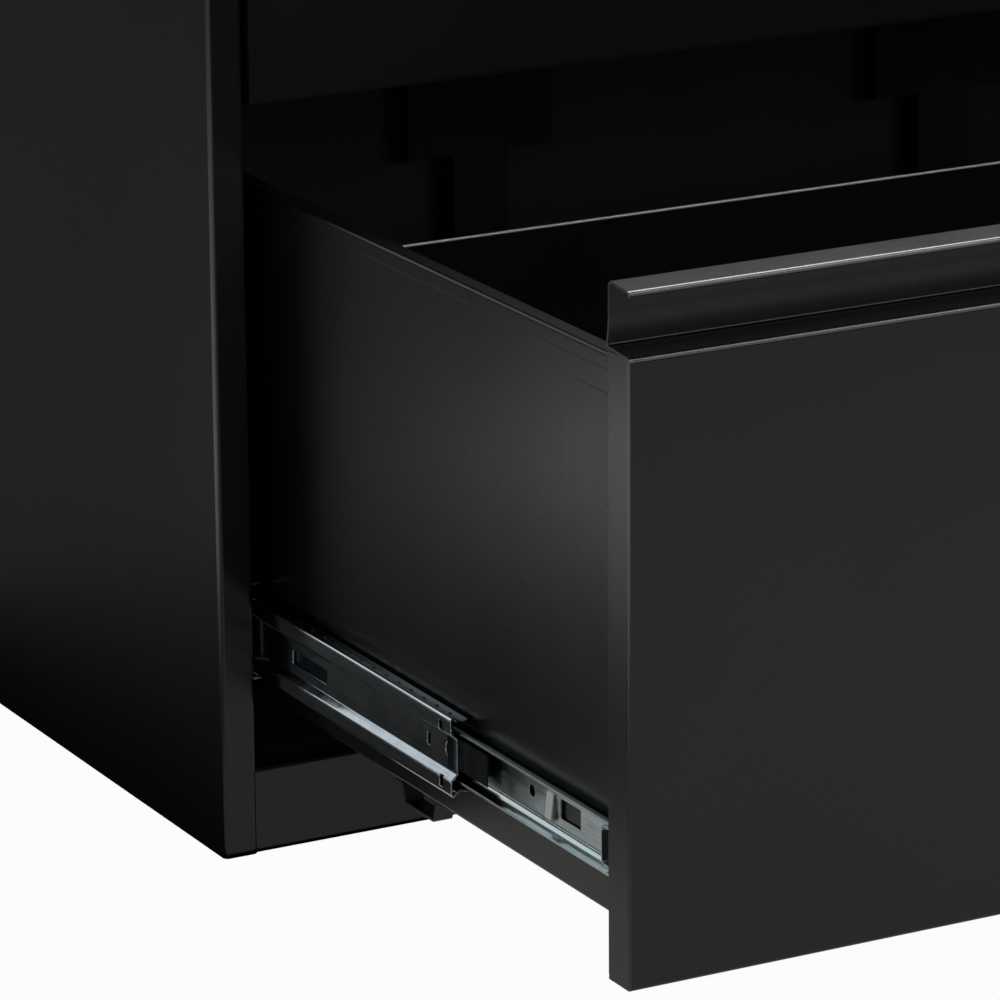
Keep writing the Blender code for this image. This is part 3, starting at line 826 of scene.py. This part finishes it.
def make_cabinet_member(drawer, side, word):
    node = f"{drawer}_{word}_cabinet_member"
    low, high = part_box(node)
    height = slide_height(drawer)
    points = mirrored([(0.0301, 0.02285), (0.0201, 0.02285)])
    shape = sheet_shape(paired_heights(points, side, height), "Y", (low.y, high.y), radius=0.0042, steps=8)
    member = make_object(node + "_channel", shape, ZINC)
    web = side * (HALF - 0.0207)
    holes = [
        slot_shape((web, low.y + share * (high.y - low.y), height), "X", 0.009, 0.0046, 0.006, 0.0022)
        for share in (0.06, 0.28, 0.52, 0.76, 0.94)
    ]
    cut(member, [join_shapes(holes)])
    stand_for(soften(member, SLIDE_EDGE, 3), node)


def make_middle_member(drawer, side, word):
    """Its web is pressed in along the middle, and its edges are rolled into ball races."""
    node = f"{drawer}_{word}_middle_member"
    low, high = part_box(node)
    height = slide_height(drawer)
    points = mirrored([
        (0.0310, 0.0166), (0.0286, 0.0158), (0.0262, 0.0166), (0.0248, 0.0179), (0.0226, 0.0179),
        (0.0226, 0.0104), (0.0256, 0.0078),
    ])
    shape = sheet_shape(
        paired_heights(points, side, height), "Y", (low.y, high.y), thickness=SLIDE_SHEET, radius=0.0017,
        steps=6,
    )
    member = make_object(node + "_channel", shape, DARK_ZINC)
    web = side * (HALF - 0.0240)
    near = low.y
    holes = [
        rod_shape((web, near + 0.0064, height + 0.0015), "X", 0.0036, THROUGH),
        slot_shape((web, near + 0.0254, height + 0.0011), "X", 0.0030, 0.0056, THROUGH, 0.0014),
        slot_shape((web, near + 0.0090, height + 0.0120), "X", 0.0034, 0.0050, THROUGH, 0.0004),
        slot_shape((web, near + 0.0090, height - 0.0125), "X", 0.0034, 0.0050, THROUGH, 0.0004),
        slot_shape((web, near + 0.1390, height), "X", 0.0340, 0.0065, THROUGH, 0.0010),
        slot_shape((web, high.y - 0.0300, height), "X", 0.0200, 0.0060, THROUGH, 0.0028),
    ]
    cut(member, [join_shapes(holes)])
    stand_for(soften(member, SLIDE_EDGE, 3), node)


def make_drawer_member(drawer, side, word):
    node = f"{drawer}_{word}_drawer_member"
    low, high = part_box(node)
    height = slide_height(drawer)
    points = [(0.0260, -0.0116), (0.0325, -0.0116), (0.0325, 0.0116), (0.0260, 0.0116)]
    shape = sheet_shape(
        paired_heights(points, side, height), "Y", (low.y, high.y), thickness=SLIDE_SHEET, radius=0.0050,
        steps=10,
    )
    member = make_object(node + "_channel", shape, ZINC)
    web = side * (HALF - 0.0320)
    near = low.y
    holes = [
        rod_shape((web, near + 0.0772, height + 0.0015), "X", 0.0026, THROUGH),
        slot_shape((web, near + 0.0440, height + 0.0012), "X", 0.0170, 0.0088, THROUGH, 0.0006),
        rod_shape((web, near + 0.2400, height), "X", 0.0026, THROUGH),
        rod_shape((web, near + 0.3400, height), "X", 0.0026, THROUGH),
    ]
    cut(member, [join_shapes(holes)])
    stand_for(soften(member, SLIDE_EDGE, 3), node)
    make_drawer_member_trim(drawer, side, word, node, near, height)


STOP_REACH = 0.0090  # half the stop strap's height


def make_drawer_member_trim(drawer, side, word, node, near, height):
    """The lanced tab on the web, and the bent stop strap at the front end."""
    points = [(0.0318, -0.0054), (0.0300, -0.0046), (0.0310, 0.0056), (0.0318, 0.0060)]
    tab = sheet_shape(
        paired_heights(points, side, height), "Y", (near + 0.0570, near + 0.0620), thickness=0.0009,
        radius=0.0010,
    )
    # The tab is near-white steel: a painted highlight.
    tab = make_object(f"{drawer}_{word}_drawer_member_tab", tab, HIGHLIGHT_STEEL)
    goes_with(soften(tab, clamp=True), node)
    front, back = near + 0.0020, near + 0.0110
    top, foot = height + STOP_REACH, height - STOP_REACH
    outline = [(front, foot), (back, foot), (back, top), (front, top)]
    span = sorted((side * (HALF - 0.0308), side * (HALF - 0.0270)))
    strap = sheet_shape(outline, "X", span, thickness=SLIDE_SHEET, radius=0.0036, steps=8)
    strap = make_object(f"{drawer}_{word}_drawer_member_stop", strap, DARK_ZINC)
    goes_with(soften(strap, clamp=True), node)


def paired_heights(points, side, height):
    """(inset, rise) to (x, z), on the given side."""
    return paired(slide_outline(points, height), side)


def add_balls(shape, radius, x, depths, heights):
    for depth in depths:
        for height in heights:
            place = Matrix.Translation((x, depth, height))
            bmesh.ops.create_icosphere(shape, subdivisions=3, radius=radius, matrix=place)


# Each cage's upper half, then its balls' inset, rise, radius and pitch
OUTER_CAGE = ([(0.0280, 0.0201), (0.02165, 0.0201)], 0.0265, 0.01985, 0.00168, 0.0100)
INNER_CAGE = (
    [(0.0300, 0.01455), (0.0252, 0.01455), (0.0252, 0.0100), (0.0271, 0.0078)], 0.0280, 0.0143, 0.00225,
    0.0118,
)


def make_cages(drawer, side, word):
    """Ball retainers: thin channels with a ball in each pocket of their edges."""
    height = slide_height(drawer)
    for kind, sizes in (("outer", OUTER_CAGE), ("inner", INNER_CAGE)):
        points, ball_inset, ball_rise, radius, pitch = sizes
        node = f"{drawer}_{word}_{kind}_ball_cage"
        low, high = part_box(node)
        start = low.y + (TONGUE_LEAD if kind == "inner" else 0.0)
        outline = paired_heights(mirrored(points), side, height)
        shape = sheet_shape(outline, "Y", (start, high.y), thickness=CAGE_SHEET, radius=0.0011, steps=5)
        cage = make_object(node + "_retainer", shape, CAGE)
        x = side * (HALF - ball_inset)
        count = int((high.y - start - pitch) / pitch)
        depths = [start + pitch / 2 + 0.002 + number * pitch for number in range(count)]
        pockets = []
        for depth in depths:
            for rise in (-ball_rise, ball_rise):
                pockets.append(rod_shape((x, depth, height + rise), "Z", radius + 0.0001, 0.003, 16))
        cut(cage, [join_shapes(pockets)])
        stand_for(soften(cage, 0.00008, 1), node)
        balls = bmesh.new()
        add_balls(balls, radius, x, depths, (height - ball_rise, height + ball_rise))
        piece = make_object(f"{drawer}_{word}_{kind}_balls", balls, BALL)
        piece.data.shade_smooth()
        goes_with(piece, node)
        if kind == "inner":
            make_tongue(drawer, side, word, node, low.y, start, height)


def make_tongue(drawer, side, word, node, near, start, height):
    """The strip that leads the inner cage: it steps into the drawer member's channel, and its tip curls."""
    shallow, deep = 0.0254, 0.0276
    points = [
        (shallow, start + 0.004), (shallow, start - 0.001), (deep, start - 0.005), (deep, near + 0.0026),
        (deep - 0.0014, near + 0.0003),
    ]
    span = (height - 0.0066, height + 0.0076)
    shape = sheet_shape(paired(points, side), "Z", span, thickness=TONGUE_SHEET, radius=0.0016)
    # The tongue's dark steel is painted shade.
    tongue = make_object(f"{drawer}_{word}_inner_cage_tongue", shape, SHADED_CAGE)
    notch = (side * (HALF - deep), near - 0.0010, height - 0.0040)
    cut(tongue, [slot_shape(notch, "X", 0.0080, 0.0072, THROUGH, 0.0016)])
    goes_with(soften(tongue, 0.00024, clamp=True), node)


# ---------------------------------------------------------------- small parts

def finer_copy(node, look, width):
    """The CAD node's own shape with rounded edges and a finish of its own."""
    shape = bmesh.new()
    shape.from_mesh(frame["nodes"][node].data)
    bmesh.ops.remove_doubles(shape, verts=shape.verts, dist=1e-6)
    bmesh.ops.dissolve_limit(shape, angle_limit=math.radians(2), verts=shape.verts, edges=shape.edges)
    piece = make_object(node + "_finished", shape, look)
    return stand_for(soften(piece, width, 3, 30, clamp=True), node)


def make_small_parts():
    finer_copy("counterweight", MILL, 0.0014)
    finer_copy("base_pan", SHADED_INNER_BLACK, EDGE)
    finer_copy("lock_cam", ZINC, 0.0003)
    finer_copy("lock_bar", ZINC, 0.0003)
    for word in ("left", "right"):
        finer_copy(f"rear_{word}_bracket", MATT_BLACK, 0.0004)
    for drawer in ("lower", "upper"):
        finer_copy(drawer + "_catch_loop", BLACK, 0.0002)
        finer_copy(drawer + "_keeper", ZINC, 0.0002)


def make_lock():
    """A round chromed cylinder lock in its collar, with a keyway that has a ward on one side."""
    low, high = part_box("lock_housing")
    axis = ((low.x + high.x) / 2, FRONT, (low.z + high.z) / 2)
    round_off = [math.pi / 2 * n / 5 for n in range(6)]
    rim = [(0.0108 + 0.0008 * math.sin(a), 0.0012 + 0.0008 * math.cos(a)) for a in round_off]
    profile = [(0.0083, -0.018), (0.0083, 0.0016), (0.0087, 0.002)] + rim + [
        (0.0116, GAP), (0.0094, GAP), (0.0094, -0.018), (0.0083, -0.018),
    ]
    stand_for(turned("lock_collar", profile, axis, "-Y", CHROME), "lock_housing")
    profile = [
        (0.0, 0.0016), (0.0066, 0.0016), (0.0071, 0.0014), (0.0077, 0.0010), (0.008, 0.0006),
        (0.008, -0.022), (0.0, -0.022),
    ]
    plug = turned("lock_plug_face", profile, axis, "-Y", CHROME)
    x, y, z = axis
    keyway = [
        box_shape((x - 0.0006, y - 0.003, z - 0.0040), (x + 0.0006, y + 0.010, z + 0.0040)),
        box_shape((x, y - 0.003, z - 0.0008), (x + 0.0015, y + 0.010, z + 0.0010)),
    ]
    cut(plug, keyway)
    stand_for(plug, "lock_plug")


PAD_RADIUS = 0.016
STEM_RADIUS = 0.004
NECK_HEIGHT = 0.0065
THREAD_PITCH = 0.0015
THREAD_DEPTH = 0.0006


def make_glides():
    """Levelling feet: a plastic pad on a threaded stem."""
    pad, stem, root = PAD_RADIUS, STEM_RADIUS, STEM_RADIUS - THREAD_DEPTH
    shoulder = [math.pi / 2 * n / 5 for n in range(1, 6)]
    for node in (row for row in frame["nodes"] if row.endswith("_glide")):
        low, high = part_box(node)
        centre = ((low.x + high.x) / 2, (low.y + high.y) / 2, low.z)
        tall = high.z - low.z
        profile = [(0.0, 0.0), (pad - 0.001, 0.0), (pad, 0.001), (pad, 0.003)]
        profile += [(pad - 0.004 * (1 - math.cos(a)), 0.003 + 0.0035 * math.sin(a)) for a in shoulder]
        profile += [(stem, NECK_HEIGHT)]
        for number in range(int((tall - NECK_HEIGHT - 0.003) / THREAD_PITCH)):
            start = NECK_HEIGHT + 0.001 + number * THREAD_PITCH
            profile += [(stem, start + THREAD_PITCH * 0.45), (root, start + THREAD_PITCH * 0.95)]
        profile += [(root, tall), (0.0, tall)]
        stand_for(turned(node + "_foot", profile, centre, "Z", PLASTIC), node)


# ---------------------------------------------------------------- floor, light and camera

FLOOR_WHITE = 0.97  # how far the floor is white to the camera
WORLD_GLOW = 0.07  # the world's strength for everything but the camera, which sees plain white


def make_floor():
    """White to the camera, and dark grey to reflections and to the light it gives back."""
    shape = bmesh.new()
    bmesh.ops.create_circle(shape, cap_ends=True, segments=96, radius=90.0)
    n = Nodes("studio_floor")
    floor = make_object("studio_floor", shape, n.material)
    tone = n.colours(n.noise(0.8, 2.0), (0.062, 0.060, 0.056), (0.069, 0.067, 0.063))
    n.finish(0.0, tone, Roughness=0.9, Specular_IOR_Level=0.0)
    glow = n.add("Emission")
    glow.inputs["Strength"].default_value = 1.0
    mix = n.add("MixShader")
    seen = n.add("LightPath")
    share = n.add("Math", operation="MULTIPLY")
    share.inputs[1].default_value = FLOOR_WHITE
    n.link(seen.outputs["Is Camera Ray"], share.inputs[0])
    n.link(share.outputs["Value"], mix.inputs["Fac"])
    n.link(n.shader.outputs["BSDF"], mix.inputs[1])
    n.link(glow.outputs["Emission"], mix.inputs[2])
    n.link(mix.outputs["Shader"], n.tree.nodes["Material Output"].inputs["Surface"])


def make_world():
    world = bpy.data.worlds.new("studio")
    bpy.context.scene.world = world
    world.use_nodes = True
    tree = world.node_tree
    tree.nodes.clear()
    output = tree.nodes.new("ShaderNodeOutputWorld")
    seen = tree.nodes.new("ShaderNodeLightPath")
    white = tree.nodes.new("ShaderNodeBackground")
    white.inputs["Strength"].default_value = 1.0
    dim = tree.nodes.new("ShaderNodeBackground")
    dim.inputs["Color"].default_value = (0.95, 0.98, 1.0, 1.0)
    dim.inputs["Strength"].default_value = WORLD_GLOW
    mix = tree.nodes.new("ShaderNodeMixShader")
    tree.links.new(seen.outputs["Is Camera Ray"], mix.inputs["Fac"])
    tree.links.new(dim.outputs["Background"], mix.inputs[1])
    tree.links.new(white.outputs["Background"], mix.inputs[2])
    tree.links.new(mix.outputs["Shader"], output.inputs["Surface"])


def area_light(name, place, aim, size, power, colour=(1.0, 1.0, 1.0)):
    data = bpy.data.lights.new(name, "AREA")
    data.shape = "RECTANGLE"
    data.size, data.size_y = size
    data.energy = power
    data.color = colour
    item = bpy.data.objects.new(name, data)
    item.location = place
    item.rotation_euler = (Vector(aim) - Vector(place)).to_track_quat("-Z", "Y").to_euler()
    item.visible_camera = False
    bpy.context.scene.collection.objects.link(item)


def make_lights():
    area_light("overhead", (0.6, 1.4, 2.8), (0.0, 0.0, 0.3), (2.4, 1.8), 190.0, (0.96, 0.99, 1.0))
    area_light(
        "left_floor_card", (-1.37, -0.07, 0.01), (-1.37, -0.07, 1.0), (0.94, 1.06), 6.2, (1.0, 0.96, 0.92),
    )
    area_light(
        "front_floor_card", (0.27, -0.91, 0.0015), (0.27, -0.91, 1.0), (1.86, 1.68), 3.9, (1.0, 0.99, 0.95),
    )
    area_light("left_front_floor_card", (-1.45, -1.15, 0.01), (-1.45, -1.15, 1.0), (1.0, 0.8), 4.4)
    area_light("front_fill", (1.6, -3.4, 1.8), (0.0, -0.3, 0.3), (2.0, 1.6), 22.0)
    area_light("upper_fold_strip", (1.3, -1.3, 2.7), (0.0, -0.4, 0.3), (1.6, 1.0), 34.0, (0.97, 0.99, 1.0))
    area_light("left_back_fill", (-2.4, 2.6, 1.5), (-0.5, -0.1, 0.1), (2.2, 1.8), 11.0, (0.95, 0.99, 1.0))
    area_light("low_front_fill", (-0.9, -3.2, 0.85), (0.0, 0.2, 0.25), (1.4, 0.7), 3.5)


AZIMUTH, ELEVATION, ROLL = 28.20, 16.845, -0.468  # degrees
CAMERA_DISTANCE = 2.65
TARGET = Vector((-0.41908, -0.12027, 0.16626))
LENS = 214.49


def make_camera():
    turn, tilt = math.radians(AZIMUTH), math.radians(ELEVATION)
    way = Vector((math.sin(turn) * math.cos(tilt), math.cos(turn) * math.cos(tilt), -math.sin(tilt)))
    data = bpy.data.cameras.new("camera")
    data.lens = LENS
    data.sensor_width = 36.0
    data.clip_end = 300.0
    item = bpy.data.objects.new("camera", data)
    item.location = TARGET - way * CAMERA_DISTANCE
    roll = Euler((0, 0, math.radians(ROLL))).to_quaternion()
    item.rotation_euler = (way.to_track_quat("-Z", "Y") @ roll).to_euler()
    bpy.context.scene.collection.objects.link(item)
    bpy.context.scene.camera = item


# ---------------------------------------------------------------- the whole

paint_cad_nodes()
make_side_panels()
make_top_cap()
make_rails()
make_back_panel()
make_posts()
for drawer in ("lower", "upper"):
    make_drawer_front(drawer)
    make_front_liner(drawer)
    make_drawer_sides(drawer)
    make_drawer_insides(drawer)
    for side, word in SIDES:
        make_cabinet_member(drawer, side, word)
        make_middle_member(drawer, side, word)
        make_drawer_member(drawer, side, word)
        make_cages(drawer, side, word)
make_small_parts()
make_lock()
make_glides()
make_floor()
make_world()
make_lights()
make_camera()
bpy.context.scene.view_settings.view_transform = "Standard"
